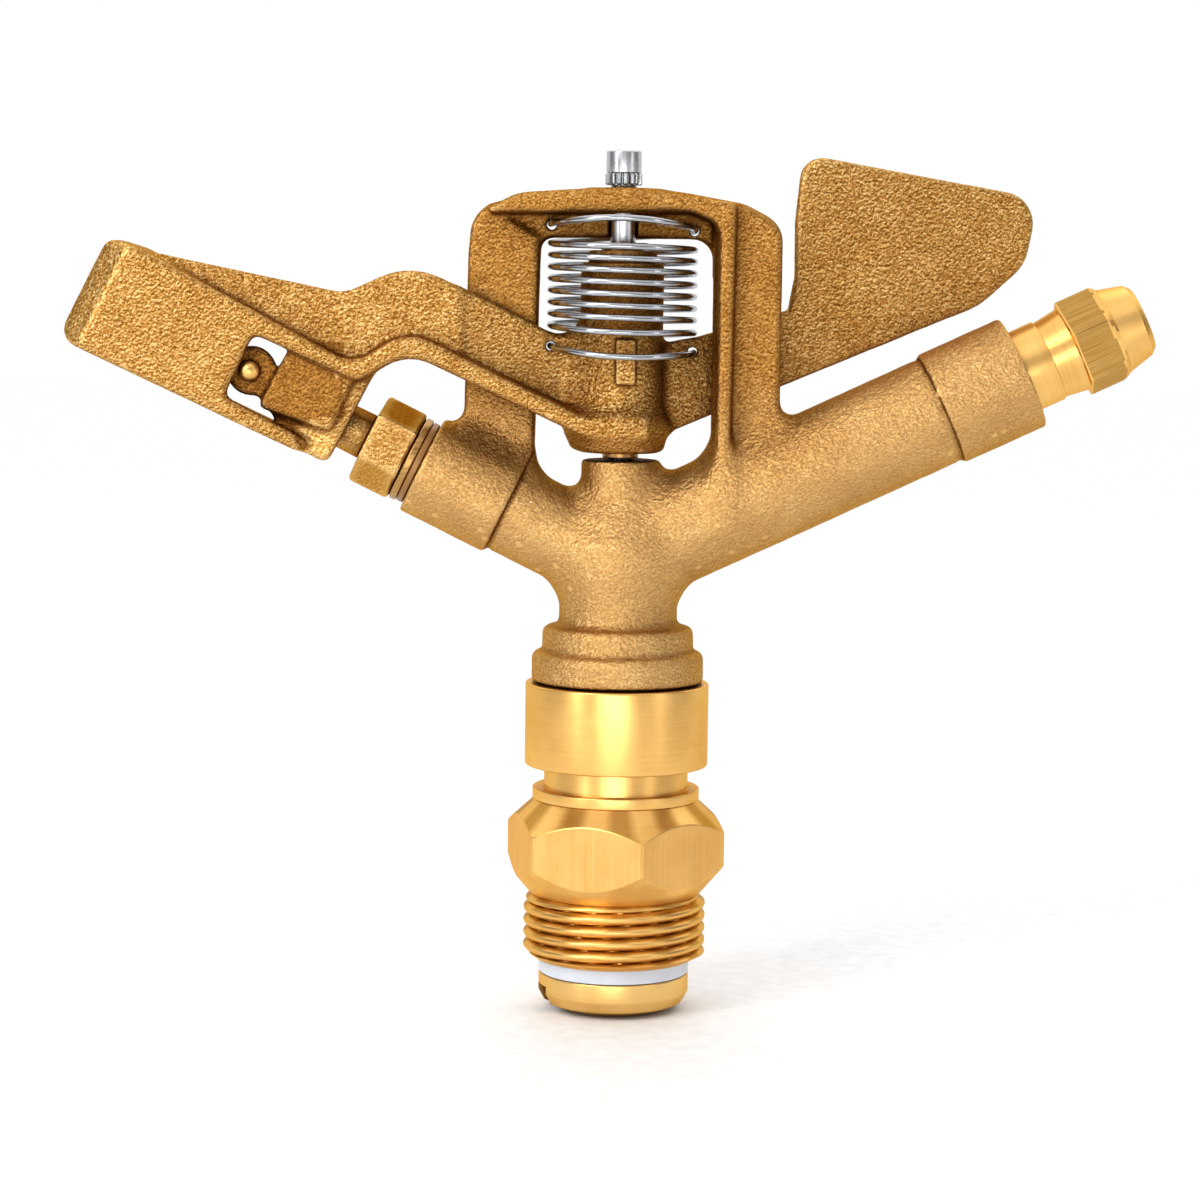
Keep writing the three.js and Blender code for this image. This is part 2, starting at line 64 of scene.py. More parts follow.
# ---- Driving places, in millimetres ----
# A barrel has the height where its axis starts on the stem's axis, its rise from level in
# degrees, the radii of its tube and collar, where the collar starts and ends along the axis,
# and the radii of its bore and of the nozzle's socket.
RANGE = {
    "z": 84.0, "rise": 25.2, "tube": 10.15, "collar": 10.75, "step": 64.5, "end": 80.9,
    "bore": 7.0, "socket": 8.0,
}
SPREADER = {
    "z": 82.4, "rise": 26.1, "tube": 8.4, "collar": 9.3, "step": 23.2, "end": 40.4,
    "bore": 5.0, "socket": 5.9,
}
SOCKET_DEPTH = 11.0
BRIDGE_TOP = box_mm("body_casting")[1][2]
BODY_BOTTOM = box_mm("body_casting")[0][2]
STEM_TOP = box_mm("stem_tube")[1][2]
STEM_SOCKET = 10.9  # radius of the casting's socket for the stem
ARM_TURN = math.radians(9)  # from the bridge's plane to the arm's
ARM_PLATE = 2.6
HUB_BOTTOM = box_mm("swing_arm")[0][2] + 2.5
HUB_RADIUS = 7.6
SPRING_SEAT = 125  # height on the hub from which the spring shades it
BUSHING_SEAT = 4.2
SPOON_FRONT = -10  # y of the spoon's front face
SPOON_TOP_LEFT, SPOON_BOTTOM_LEFT = (-92.9, 140.9), (-102.0, 122.7)
BEVEL_WIDTH, BEVEL_DEPTH = 4.6, 3.2  # of the slope along the spoon's far end
SCREW = (-67.2, 117.1)  # x and z of the diffuser screw
PIN_RADIUS = 2.3
SPRING_HOLE = 0.85  # radius of the holes that anchor the arm spring


# ---- Outlines ----
ARC_STEP, SKIN_ARC_STEP = 12, 15  # degrees of one straight piece of an arc


def outline(points, arc_step=ARC_STEP):
    """A closed line from (a, b, corner radius) points, its corners turned into arcs."""
    line = []
    for i, (a, b, *radius) in enumerate(points):
        corner = np.array([a, b], float)
        before = np.array(points[i - 1][:2], float) - corner
        after = np.array(points[(i + 1) % len(points)][:2], float) - corner
        before /= np.linalg.norm(before)
        after /= np.linalg.norm(after)
        half = math.acos(np.clip(before @ after, -1, 1)) / 2
        almost_straight = half > 1.55
        if not radius or not radius[0] or almost_straight:
            line.append(corner)
            continue
        r = radius[0]
        middle = (before + after) / np.linalg.norm(before + after)
        centre = corner + middle * r / math.sin(half)
        start = corner + before * r / math.tan(half) - centre
        turn = math.pi - 2 * half
        turn *= -1 if before[0] * after[1] - before[1] * after[0] > 0 else 1
        steps = max(2, math.ceil(abs(math.degrees(turn)) / arc_step))
        for k in range(steps + 1):
            c, s = math.cos(turn * k / steps), math.sin(turn * k / steps)
            line.append(centre + [start[0] * c - start[1] * s, start[0] * s + start[1] * c])
    return np.array(line)


def outline_distance(a, b, points):
    """Signed distance from the points (a, b) to a closed outline, negative inside."""
    line = outline(points)
    shape = np.broadcast(a, b).shape
    nearest = np.full(shape, 1e9, np.float32)
    inside = np.zeros(shape, bool)
    for (ax, ay), (bx, by) in zip(line, np.roll(line, -1, axis=0)):
        ex, ey = bx - ax, by - ay
        length = ex * ex + ey * ey
        if length < 1e-12:
            continue
        wx, wy = a - ax, b - ay
        t = np.clip((wx * ex + wy * ey) / length, 0, 1)
        nearest = np.minimum(nearest, (wx - ex * t) ** 2 + (wy - ey * t) ** 2)
        if abs(ey) > 1e-9:
            inside ^= ((ay > b) != (by > b)) & (a < ex * (b - ay) / ey + ax)
    distance = np.sqrt(nearest)
    return np.where(inside, -distance, distance).astype(np.float32)


class Lookup:
    """The distance to an outline, kept on a fine flat grid and read between its points."""

    STEP = 0.2
    MARGIN = 6

    def __init__(self, points):
        line = outline(points)
        self.low = line.min(0) - self.MARGIN
        size = line.max(0) + self.MARGIN - self.low
        self.count = np.ceil(size / self.STEP).astype(int) + 1
        a = self.low[0] + self.STEP * np.arange(self.count[0])[:, None]
        b = self.low[1] + self.STEP * np.arange(self.count[1])[None, :]
        self.grid = outline_distance(a, b, points)

    def at(self, a, b):
        i, j = (a - self.low[0]) / self.STEP, (b - self.low[1]) / self.STEP
        ci, cj = np.clip(i, 0, self.count[0] - 1.001), np.clip(j, 0, self.count[1] - 1.001)
        beyond = np.hypot(i - ci, j - cj) * self.STEP
        i0, j0 = ci.astype(np.int32), cj.astype(np.int32)
        fi, fj = ci - i0, cj - j0
        near = self.grid[i0, j0] * (1 - fj) + self.grid[i0, j0 + 1] * fj
        far = self.grid[i0 + 1, j0] * (1 - fj) + self.grid[i0 + 1, j0 + 1] * fj
        return (near * (1 - fi) + far * fi + beyond).astype(np.float32)


# ---- Signed-distance shapes ----
class Space:
    """A block of grid points, with x, y and z that broadcast against each other."""

    MARGIN = 1.5  # round the node that the grid is for

    def __init__(self, node):
        low, high = box_mm(node)
        self.low = low - self.MARGIN
        counts = np.ceil((high + self.MARGIN - self.low) / CELL).astype(int) + 1
        axes = [
            (self.low[k] + CELL * np.arange(counts[k])).astype(np.float32) for k in range(3)
        ]
        self.x, self.y, self.z = np.meshgrid(*axes, indexing="ij", sparse=True)
        self.shape = tuple(counts)


def crossed(a, b, rounding):
    """Where two distances are both inside, with the edge between them rounded."""
    ra, rb = a + rounding, b + rounding
    outside = np.hypot(np.maximum(ra, 0), np.maximum(rb, 0))
    return np.minimum(np.maximum(ra, rb), 0) + outside - rounding


def filleted(a, b, radius):
    """The union of two distances with a fillet along the line where they meet."""
    ra, rb = np.maximum(radius - a, 0), np.maximum(radius - b, 0)
    return np.maximum(radius, np.minimum(a, b)) - np.hypot(ra, rb)


def united(*distances):
    whole = distances[0]
    for d in distances[1:]:
        whole = np.minimum(whole, d)
    return whole


def between_planes(values, low, high):
    return np.abs(values - (low + high) / 2) - (high - low) / 2


def slab(space, points, front, back, rounding=0.7):
    """A plate with its outline in the XZ plane, between two values of y."""
    flat = outline_distance(space.x, space.z, points)
    return crossed(flat, between_planes(space.y, front, back), rounding)


def arm_slab(space, points):
    """A plate in the arm's own plane, which holds the Z axis and is turned a little about it."""
    u = space.x * math.cos(ARM_TURN) + space.y * math.sin(ARM_TURN)
    v = space.y * math.cos(ARM_TURN) - space.x * math.sin(ARM_TURN)
    flat = Lookup(points).at(*np.broadcast_arrays(u, space.z))
    return crossed(flat, np.abs(v) - ARM_PLATE / 2, 0.6)


def revolved(space, points, centre=(0, 0), height=0, lean=0):
    """A solid of revolution from (radius, distance) points.
    Its axis starts at centre and leans towards +X."""
    sin, cos = math.sin(lean), math.cos(lean)
    dx, dy, dz = space.x - centre[0], space.y - centre[1], space.z - height
    along = dx * sin + dz * cos
    radius = np.sqrt(np.maximum((dx * cos - dz * sin) ** 2 + dy * dy, 0))
    past_axis = -5
    closed = [(past_axis, points[0][1]), *points, (past_axis, points[-1][1])]
    return Lookup(closed).at(*np.broadcast_arrays(radius, along))


def drilled(space, radius, bottom, top):
    hole = np.hypot(space.x, space.y) - radius
    return np.maximum(hole, between_planes(space.z, bottom, top))


def drilled_along_y(space, radius, x, z, front, back):
    hole = np.hypot(space.x - x, space.z - z) - radius
    return np.maximum(hole, between_planes(space.y, front, back))


def block(space, centre, size, rounding=0.4):
    axes = (space.x, space.y, space.z)
    away = [np.abs(c - m) - s / 2 + rounding for c, m, s in zip(axes, centre, size)]
    outside = np.sqrt(sum(np.maximum(d, 0) ** 2 for d in away))
    inside = np.minimum(np.maximum(np.maximum(away[0], away[1]), away[2]), 0)
    return outside + inside - rounding


def softened(distance, shape, sigma):
    """Rounds every edge, inside and outside corners alike, by a blur of sigma millimetres."""
    values = np.broadcast_to(distance, shape).astype(np.float32)
    reach = math.ceil(2.5 * sigma / CELL)
    weights = np.exp(-0.5 * (np.arange(-reach, reach + 1) * CELL / sigma) ** 2)
    weights /= weights.sum()
    for axis in range(3):
        widths = [(reach, reach) if k == axis else (0, 0) for k in range(3)]
        padded = np.pad(values, widths, mode="edge")
        size = values.shape[axis]
        values = sum(
            w * np.take(padded, range(k, k + size), axis) for k, w in enumerate(weights)
        )
    return values


def barrel_lean(barrel, side):
    return side * math.radians(90 - barrel["rise"])


# ---- Meshes ----
def new_piece(name, points, faces, material, smooth=True):
    """A mesh object from points in millimetres."""
    mesh = bpy.data.meshes.new(name)
    mesh.from_pydata((np.asarray(points) * MM).tolist(), [], faces)
    mesh.validate()
    mesh.update()
    piece = bpy.data.objects.new(name, mesh)
    bpy.context.scene.collection.objects.link(piece)
    mesh.materials.append(material)
    if smooth:
        mesh.shade_smooth()
    return piece


def casting_mesh(name, space, distance, material):
    """Turns a distance block into a mesh, and gives it the slight waves of a sand mould."""
    reach, waviness = 3, 0.05
    grid = openvdb.FloatGrid(float(reach))
    values = np.clip(np.broadcast_to(distance, space.shape), -reach, reach).astype(np.float32)
    grid.copyFromArray(np.ascontiguousarray(values), tolerance=0)
    points, quads = grid.convertToQuads(isovalue=0.0)
    points = points * CELL + space.low
    piece = new_piece(name, points, quads.tolist(), material)
    mesh = piece.data
    normals = np.empty(len(mesh.vertices) * 3, np.float32)
    mesh.vertex_normals.foreach_get("vector", normals)
    waves = np.array([
        noise.noise(Vector(p) * 0.22) + 0.5 * noise.noise(Vector(p) * 0.6) for p in points
    ])
    moved = points + normals.reshape(-1, 3) * (waves * waviness - waviness)[:, None]
    mesh.vertices.foreach_set("co", (moved * MM).astype(np.float32).ravel())
    mesh.update()
    return piece


def tint(piece, material, chosen):
    """Gives a material to the faces that chosen(centre in millimetres, normal) picks."""
    piece.data.materials.append(material)
    index = len(piece.data.materials) - 1
    for face in piece.data.polygons:
        if chosen(face.center / MM, face.normal):
            face.material_index = index


def apart(a, b):
    """Degrees from angle a to angle b, between -180 and 180."""
    return (a - b + 180) % 360 - 180


def columns(step=2.5, extra=()):
    """Angles round an axis, in degrees, with extra ones where a shape has an edge."""
    regular = [
        a for a in np.arange(0, 360, step) if all(abs(apart(a, e)) > 0.6 * step for e in extra)
    ]
    return np.radians(sorted({*np.round(regular, 4), *(round(e % 360, 4) for e in extra)}))


def skin(name, rows, angles, material, place):
    """A closed surface from rows of (radius, height), each a number or one value for each angle.
    A row of radius 0 closes the surface on its axis; otherwise the last row joins the first."""
    points, starts = [], []
    for radius, height in rows:
        r = np.broadcast_to(radius, angles.shape)
        h = np.broadcast_to(height, angles.shape)
        starts.append(len(points))
        if np.all(r < 1e-9):
            points.append((0, 0, h[0]))
        else:
            points.extend(zip(r * np.cos(angles), r * np.sin(angles), h))
    starts.append(len(points))
    n, faces = len(angles), []
    on_axis = [starts[i + 1] - starts[i] == 1 for i in range(len(rows))]
    pairs = [(i, i + 1) for i in range(len(rows) - 1)]
    if not on_axis[0]:
        pairs.append((len(rows) - 1, 0))
    for i, j in pairs:
        a, b = starts[i], starts[j]
        for k in range(n):
            m = (k + 1) % n
            if on_axis[i]:
                faces.append((a, b + m, b + k))
            elif on_axis[j]:
                faces.append((a + k, a + m, b))
            else:
                faces.append((a + k, a + m, b + m, b + k))
    piece = new_piece(name, [place @ Vector(p) for p in points], faces, material)
    piece.data.set_sharp_from_angle(angle=math.radians(18))
    return piece


def rows_of(points):
    return [(r, h) for r, h in outline(points, SKIN_ARC_STEP)]


def along_barrel(barrel, side):
    lean = Matrix.Rotation(barrel_lean(barrel, side), 4, "Y")
    return Matrix.Translation((0, 0, barrel["z"])) @ lean


def hexagon_radius(angles, flats, turn):
    """Distance from the axis to a hexagon's side. turn is the angle of one corner, in degrees."""
    from_corner = (np.degrees(angles) - turn) % 60
    return flats / 2 / np.cos(np.radians(from_corner - 30))


def corner_columns(turn, width):
    return [turn + 60 * k + side for k in range(6) for side in (-width, 0, width)]


# ---- Materials. Their lengths are in metres, as the shader sees them. ----
class Look:
    """A node material. Plain values go straight onto the shader's own sockets."""

    def __init__(self, name, **sockets):
        self.material = bpy.data.materials.new(name)
        self.material.use_nodes = True
        self.nodes = self.material.node_tree.nodes
        self.links = self.material.node_tree.links
        self.shader = self.nodes["Principled BSDF"]
        for socket, value in sockets.items():
            self.shader.inputs[socket.replace("_", " ")].default_value = value
        self.place = self.add("ShaderNodeTexCoord")["Object"]

    def add(self, kind, inputs=None, **settings):
        node = self.nodes.new(kind)
        for setting, value in settings.items():
            setattr(node, setting, value)
        for socket, value in (inputs or {}).items():
            self.feed(value, node.inputs[socket])
        return node.outputs

    def feed(self, value, socket):
        if isinstance(value, bpy.types.NodeSocket):
            self.links.new(value, socket)
        else:
            socket.default_value = value

    def set(self, socket, value):
        self.feed(value, self.shader.inputs[socket])

    def mapped(self, vector=None, **settings):
        inputs = {"Vector": vector or self.place, **settings}
        return self.add("ShaderNodeMapping", inputs)["Vector"]

    def noise(self, scale, detail=2, rough=0.5, vector=None):
        """Scale is in cycles to the metre."""
        inputs = {
            "Vector": vector or self.place, "Scale": scale, "Detail": detail, "Roughness": rough,
        }
        return self.add("ShaderNodeTexNoise", inputs)["Fac"]

    def lathe_lines(self, vector, scale):
        return self.noise(1.0, 2, 0.6, self.mapped(vector, Scale=scale))

    def maths(self, operation, a, b=0.0):
        return self.add("ShaderNodeMath", {0: a, 1: b}, operation=operation)["Value"]

    def vectors(self, operation, a, b=(0, 0, 0)):
        return self.add("ShaderNodeVectorMath", {0: a, 1: b}, operation=operation)

    def split(self, vector):
        return self.add("ShaderNodeSeparateXYZ", {"Vector": vector})

    def between(self, value, low, high, to_low=0.0, to_high=1.0):
        inputs = {
            "Value": value, "From Min": low, "From Max": high, "To Min": to_low,
            "To Max": to_high,
        }
        return self.add("ShaderNodeMapRange", inputs)["Result"]

    def ramp(self, value, stops):
        outputs = self.add("ShaderNodeValToRGB", {"Fac": value})
        set_stops(outputs["Color"].node.color_ramp, stops)
        return outputs["Color"]

    def mixed(self, share, a, b):
        colours = [c if isinstance(c, bpy.types.NodeSocket) else (*c, 1) for c in (a, b)]
        inputs = {"Factor": share, 6: colours[0], 7: colours[1]}
        return self.add("ShaderNodeMix", inputs, data_type="RGBA")[2]

    def openness(self, distance):
        inputs = {"Distance": distance}
        return self.add("ShaderNodeAmbientOcclusion", inputs, samples=6)["AO"]

    def bump(self, height, distance, strength=1.0):
        inputs = {"Height": height, "Distance": distance, "Strength": strength}
        return self.add("ShaderNodeBump", inputs)["Normal"]


def set_stops(ramp, stops):
    while len(ramp.elements) < len(stops):
        ramp.elements.new(0.5)
    for element, (position, colour) in zip(ramp.elements, stops):
        element.position = position
        element.color = (*colour, 1)


def dimmed(colour, *factors):
    return tuple(c * f for c, f in zip(colour, factors))


GRAIN = (1900, 2, 0.55)  # noise scale, detail and roughness
LIT_FROM = (0.00008, 0.00008, -0.00016)  # the grain is shaded as if light came from here
CAST_TONES = [
    (0.2, (0.165, 0.06, 0.009)), (0.46, (0.365, 0.16, 0.03)),
    (0.68, (0.515, 0.273, 0.071)), (0.95, (0.80, 0.58, 0.25)),
]
# Painted light: the paler colour that the barrels and neck are mixed towards.
CAST_PAINTED_PALE = (0.72, 0.51, 0.25)
CAST_RUBBED = (0.86, 0.56, 0.22)
CAST_CREASE_SHADE = (0.16, 0.06, 0.011)
CAST_SEAM = (0.12, 0.045, 0.008)
CAST_HOLLOW_SHADE = (0.085, 0.028, 0.004)


def with_seam(look, colour, lumps, lean, height, along, reach):
    """A thin dark line round a barrel, at a distance along its axis, kept off the rest by reach."""
    from_start = look.vectors("ADD", look.place, (0, 0, -height * MM))["Vector"]
    axis = (math.sin(lean), 0, math.cos(lean))
    here = look.vectors("DOT_PRODUCT", from_start, axis)["Value"]
    length = look.vectors("LENGTH", from_start)["Value"]
    off = look.maths("ABSOLUTE", look.maths("SUBTRACT", here, along * MM))
    wobble = look.maths("MULTIPLY", look.maths("SUBTRACT", lumps, 0.5), 0.0003)
    too_far = look.maths("GREATER_THAN", length, reach * MM)
    off = look.maths("ADD", look.maths("ADD", off, wobble), too_far)
    return look.mixed(look.between(off, 0.00006, 0.00034), CAST_SEAM, colour)


def cast_brass(name, smoothness=0.0, tone=1.0, coarse=1.0, seams=(), bridge_shade=None):
    """Sand-cast brass: fine grains with painted light on one side and painted brown shade on the
    other, and painted shade in creases, corners and hollows.
    Given a tone for the bridge, the bridge is painted darker by it and the barrels and neck painted
    paler, for the light that falls on each, and the barrels and neck have finer grain.
    Each seam is (lean, height, along, reach): a line round a barrel."""
    look = Look(name, Metallic=0.96, Specular_Tint=(0.72, 0.46, 0.2, 1))
    grain = look.noise(*GRAIN)
    lumps = look.noise(800, 2, 0.5)
    patches = look.noise(110, 3, 0.55)
    height = look.maths("ADD", grain, look.maths("MULTIPLY", lumps, 0.9))
    # Painted light and shade on the grain: the colour is lighter on each grain's side towards
    # LIT_FROM and browner on its far side.
    lit_side = look.mapped(Location=LIT_FROM)
    painted_grain_shade = look.maths("SUBTRACT", grain, look.noise(*GRAIN, lit_side))
    depth = 0.34 * coarse
    shown = look.between(painted_grain_shade, -0.14, 0.14, -depth, depth)
    if bridge_shade:
        where = look.split(look.place)
        high = look.between(where["Z"], 0.094, 0.118)
        central = look.between(look.maths("ABSOLUTE", where["X"]), 0.030, 0.044, 1, 0)
        on_bridge = look.maths("MULTIPLY", high, central)
        shown = look.maths("MULTIPLY", shown, look.between(on_bridge, 0, 1, 0.5, 1))
    shown = look.maths("ADD", look.maths("ADD", shown, 0.31),
                       look.between(grain, 0.25, 0.75, 0, 0.2))
    shown = look.maths("ADD", shown, look.maths("MULTIPLY", patches, 0.36))
    # Painted shade: the bridge's flat plates are darkened by the bridge's tone.
    if bridge_shade:
        shown = look.maths("MULTIPLY", shown, look.between(on_bridge, 0, 1, 1.0, bridge_shade))
    colour = look.ramp(look.maths("MULTIPLY", shown, tone), CAST_TONES)
    # Painted light: the barrels and neck are mixed towards a paler colour.
    if bridge_shade:
        colour = look.mixed(look.between(on_bridge, 0, 1, 0.24, 0), colour, CAST_PAINTED_PALE)
    for seam in seams:
        colour = with_seam(look, colour, lumps, *seam)
    edge = look.add("ShaderNodeNewGeometry")["Pointiness"]
    colour = look.mixed(look.between(edge, 0.515, 0.56, 0, 0.55), colour, CAST_RUBBED)
    # Painted shade in creases: concave places, found by their low pointiness, are darkened.
    colour = look.mixed(look.between(edge, 0.44, 0.492), CAST_CREASE_SHADE, colour)
    # Painted shade: darker in hollows, corners and under other parts, read from ambient occlusion
    # at two reaches; the short reach partly stands for patina in tight recesses.
    near, wide = look.openness(0.003), look.openness(0.016)
    hollow = look.maths("MULTIPLY", look.between(near, 0.25, 0.85, 0.25, 1),
                        look.between(wide, 0.2, 0.85, 0.15, 1))
    look.set("Base Color", look.mixed(hollow, CAST_HOLLOW_SHADE, colour))
    look.set("Roughness", look.between(grain, 0.3, 0.7, 0.52 - 0.12 * smoothness, 0.4))
    look.set("Normal", look.bump(height, 0.00038 * coarse * (1 - 0.7 * smoothness), 0.85))
    return look.material


ROUND_THE_AXIS = (60, 60, 3500)  # scales that stretch a noise into lines round Z
ALONG_THE_AXIS = (2500, 2500, 60)


def with_glints(look, shade, tone, strength):
    """Painted reflections: brown streaks down the slopes that face up, twelve to the turn."""
    where = look.split(look.place)
    angle = look.maths("ARCTAN2", where["Y"], where["X"])
    angle = look.maths("ADD", angle, look.between(tone, 0, 1, -0.04, 0.04))
    phase = look.maths("SUBTRACT", look.maths("MULTIPLY", angle, 12.0), math.radians(216))
    wave = look.maths("COSINE", phase)
    up = look.split(look.add("ShaderNodeTexCoord")["Normal"])["Z"]
    slope = look.maths("MULTIPLY", look.between(up, 0.45, 0.65),
                       look.between(up, 0.85, 0.95, 1, 0))
    share = look.maths("MULTIPLY", look.maths("MULTIPLY", slope, strength),
                       look.between(wave, 0.55, -0.7))
    return look.mixed(share, shade, (0.36, 0.17, 0.03))


def turned_brass(name, lean=0.0, streaks=ROUND_THE_AXIS, colour=(0.85, 0.50, 0.145), glints=0.0):
    """Bright brass off the lathe: faint lines round the axis, and a slight change of tone."""
    look = Look(name, Metallic=1.0, Specular_Tint=(0.9, 0.7, 0.42, 1))
    lines = look.lathe_lines(look.mapped(Rotation=(0, -lean, 0)), streaks)
    tone = look.noise(90, 3, 0.6)
    shade = look.mixed(look.between(tone, 0.3, 0.75), dimmed(colour, 0.82, 0.74, 0.62), colour)
    shade = look.mixed(look.between(lines, 0.3, 0.7, 0, 0.25), shade, (0.95, 0.66, 0.28))
    if glints:
        shade = with_glints(look, shade, tone, glints)
    # Painted shade: darker brown in tight corners, read from ambient occlusion.
    near = look.between(look.openness(0.0025), 0.05, 0.6)
    look.set("Base Color", look.mixed(near, (0.30, 0.17, 0.045), shade))
    look.set("Roughness", look.between(lines, 0.25, 0.75, 0.29, 0.37))
    look.set("Normal", look.bump(lines, 0.000008, 0.5))
    return look.material


def bright_steel(name, colour, rough):
    look = Look(name, Metallic=1.0)
    scuffs = look.noise(700, 3, 0.6, look.mapped(Scale=(1, 1, 0.3)))
    shade = look.mixed(look.between(scuffs, 0.3, 0.7), dimmed(colour, 0.85, 0.85, 0.85), colour)
    # Painted shade: near black in tight corners and gaps, read from ambient occlusion.
    near = look.between(look.openness(0.0015), 0.2, 0.8)
    look.set("Base Color", look.mixed(near, (0.05, 0.05, 0.055), shade))
    look.set("Roughness", look.between(scuffs, 0.3, 0.7, rough - 0.04, rough + 0.08))
    look.set("Normal", look.bump(scuffs, 0.000006, 0.5))
    return look.material


def bronze(name):
    look = Look(name, Metallic=1.0)
    lines = look.lathe_lines(look.place, (60, 60, 4000))
    shade = look.mixed(look.between(lines, 0.3, 0.7), (0.33, 0.17, 0.05), (0.52, 0.30, 0.11))
    look.set("Base Color", shade)
    look.set("Roughness", look.between(lines, 0.3, 0.7, 0.32, 0.45))
    look.set("Normal", look.bump(lines, 0.00002, 0.5))
    return look.material


def moulded(name, colour, rough, metallic=0.0):
    look = Look(name, Metallic=metallic)
    mottle = look.noise(300, 3, 0.5)
    shade = look.mixed(look.between(mottle, 0.3, 0.7), dimmed(colour, 0.9, 0.9, 0.9), colour)
    look.set("Base Color", shade)
    look.set("Roughness", look.between(mottle, 0.3, 0.7, rough - 0.05, rough + 0.08))
    look.set("Normal", look.bump(look.noise(2500, 2), 0.00002, 0.4))
    return look.material


CAST = cast_brass("cast_brass", tone=0.93)
CAST_BODY = cast_brass("cast_brass_seamed", coarse=0.85, bridge_shade=0.78, seams=[
    (barrel_lean(RANGE, 1), RANGE["z"], RANGE["step"], 66.5),
    (barrel_lean(SPREADER, -1), SPREADER["z"], SPREADER["step"], 26),
])
CAST_SMOOTH = cast_brass("cast_brass_fettled", smoothness=0.8, tone=1.05, coarse=0.7)
# Painted shade: a darker copy of the cast brass, for faces that lie in shadow.
CAST_SHADE = cast_brass("cast_brass_painted_shade", tone=0.6)
CAST_NOZZLE = cast_brass("cast_brass_nozzle", smoothness=0.8, coarse=0.35)
CAST_TIP = cast_brass("cast_brass_tip", tone=1.02, coarse=0.6)
# Painted shade: a much darker copy of the cast brass, for faces in deep shade.
CAST_DARK_SHADE = cast_brass("cast_brass_dark_shade", smoothness=0.8, tone=0.55, coarse=0.3)
TURNED = turned_brass("turned_brass")
TURNED_NIPPLE = turned_brass("turned_brass_nipple", glints=0.75)
TURNED_STEM = turned_brass("turned_brass_stem", colour=(0.87, 0.57, 0.20))
TURNED_RANGE = turned_brass("turned_brass_nozzle", lean=barrel_lean(RANGE, 1))
MILLED = turned_brass("milled_brass", streaks=ALONG_THE_AXIS, colour=(0.84, 0.475, 0.145))
MILLED_RANGE = turned_brass(
    "milled_brass_nozzle", barrel_lean(RANGE, 1), ALONG_THE_AXIS, (0.40, 0.215, 0.04),
)
STEEL = bright_steel("spring_steel", (0.42, 0.43, 0.45), 0.16)
PIN_STEEL = bright_steel("pin_steel", (0.56, 0.57, 0.59), 0.26)
BRONZE = bronze("bearing_bronze")
FIBRE = moulded("brown_fibre", (0.30, 0.14, 0.035), 0.4, metallic=0.4)
WHITE = moulded("white_plastic", (0.62, 0.66, 0.74), 0.38)
RUBBER = moulded("dark_rubber", (0.13, 0.06, 0.02), 0.6)


# ---- Camera, light and floor, in metres ----
def camera():
    distance, sideways, height = 0.6, -0.003346, 0.13692
    pitch, roll = math.radians(5.8636), math.radians(0.75)
    data = bpy.data.cameras.new("camera")
    data.lens, data.sensor_width = 97.86, 36.0
    eye = bpy.data.objects.new("camera", data)
    bpy.context.scene.collection.objects.link(eye)
    turn = Matrix.Rotation(math.pi / 2 - pitch, 4, "X") @ Matrix.Rotation(roll, 4, "Z")
    place = Matrix.Translation((sideways, -distance * math.cos(pitch), height))
    eye.matrix_world = place @ turn
    bpy.context.scene.camera = eye


def soft_light(name, place, size, power, aim=(0, 0, 0.09)):
    data = bpy.data.lights.new(name, "AREA")
    data.shape, data.size, data.size_y = "RECTANGLE", *size
    data.energy = power
    lamp = bpy.data.objects.new(name, data)
    bpy.context.scene.collection.objects.link(lamp)
    turn = (Vector(aim) - Vector(place)).to_track_quat("-Z", "Y").to_matrix().to_4x4()
    lamp.matrix_world = Matrix.Translation(place) @ turn


def surroundings():
    """A bright backdrop behind a dimmer room, so that the metal has something to reflect."""
    world = bpy.data.worlds.new("studio")
    world.use_nodes = True
    nodes, links = world.node_tree.nodes, world.node_tree.links
    split = nodes.new("ShaderNodeSeparateXYZ")
    links.new(nodes.new("ShaderNodeTexCoord").outputs["Generated"], split.inputs["Vector"])
    toward_back = nodes.new("ShaderNodeMapRange")
    toward_back.inputs["From Min"].default_value = -1
    links.new(split.outputs["Y"], toward_back.inputs["Value"])
    brightness = nodes.new("ShaderNodeValToRGB")
    links.new(toward_back.outputs["Result"], brightness.inputs["Fac"])
    from_front = [(0.0, 0.46), (0.2, 0.38), (0.4, 0.17), (0.58, 0.17), (0.68, 0.95), (1.0, 1.0)]
    set_stops(brightness.color_ramp, [(at, (grey, grey, grey)) for at, grey in from_front])
    overhead = nodes.new("ShaderNodeMapRange")
    overhead.interpolation_type = "SMOOTHSTEP"
    links.new(split.outputs["Z"], overhead.inputs["Value"])
    ceiling = {"From Min": 0.35, "From Max": 0.9, "To Min": 0.0, "To Max": 1.1}
    for socket, value in ceiling.items():
        overhead.inputs[socket].default_value = value
    total = nodes.new("ShaderNodeMath")
    links.new(brightness.outputs["Color"], total.inputs[0])
    links.new(overhead.outputs["Result"], total.inputs[1])
    links.new(total.outputs["Value"], nodes["Background"].inputs["Strength"])
    nodes["Background"].inputs["Color"].default_value = (1, 1, 1, 1)
    bpy.context.scene.world = world


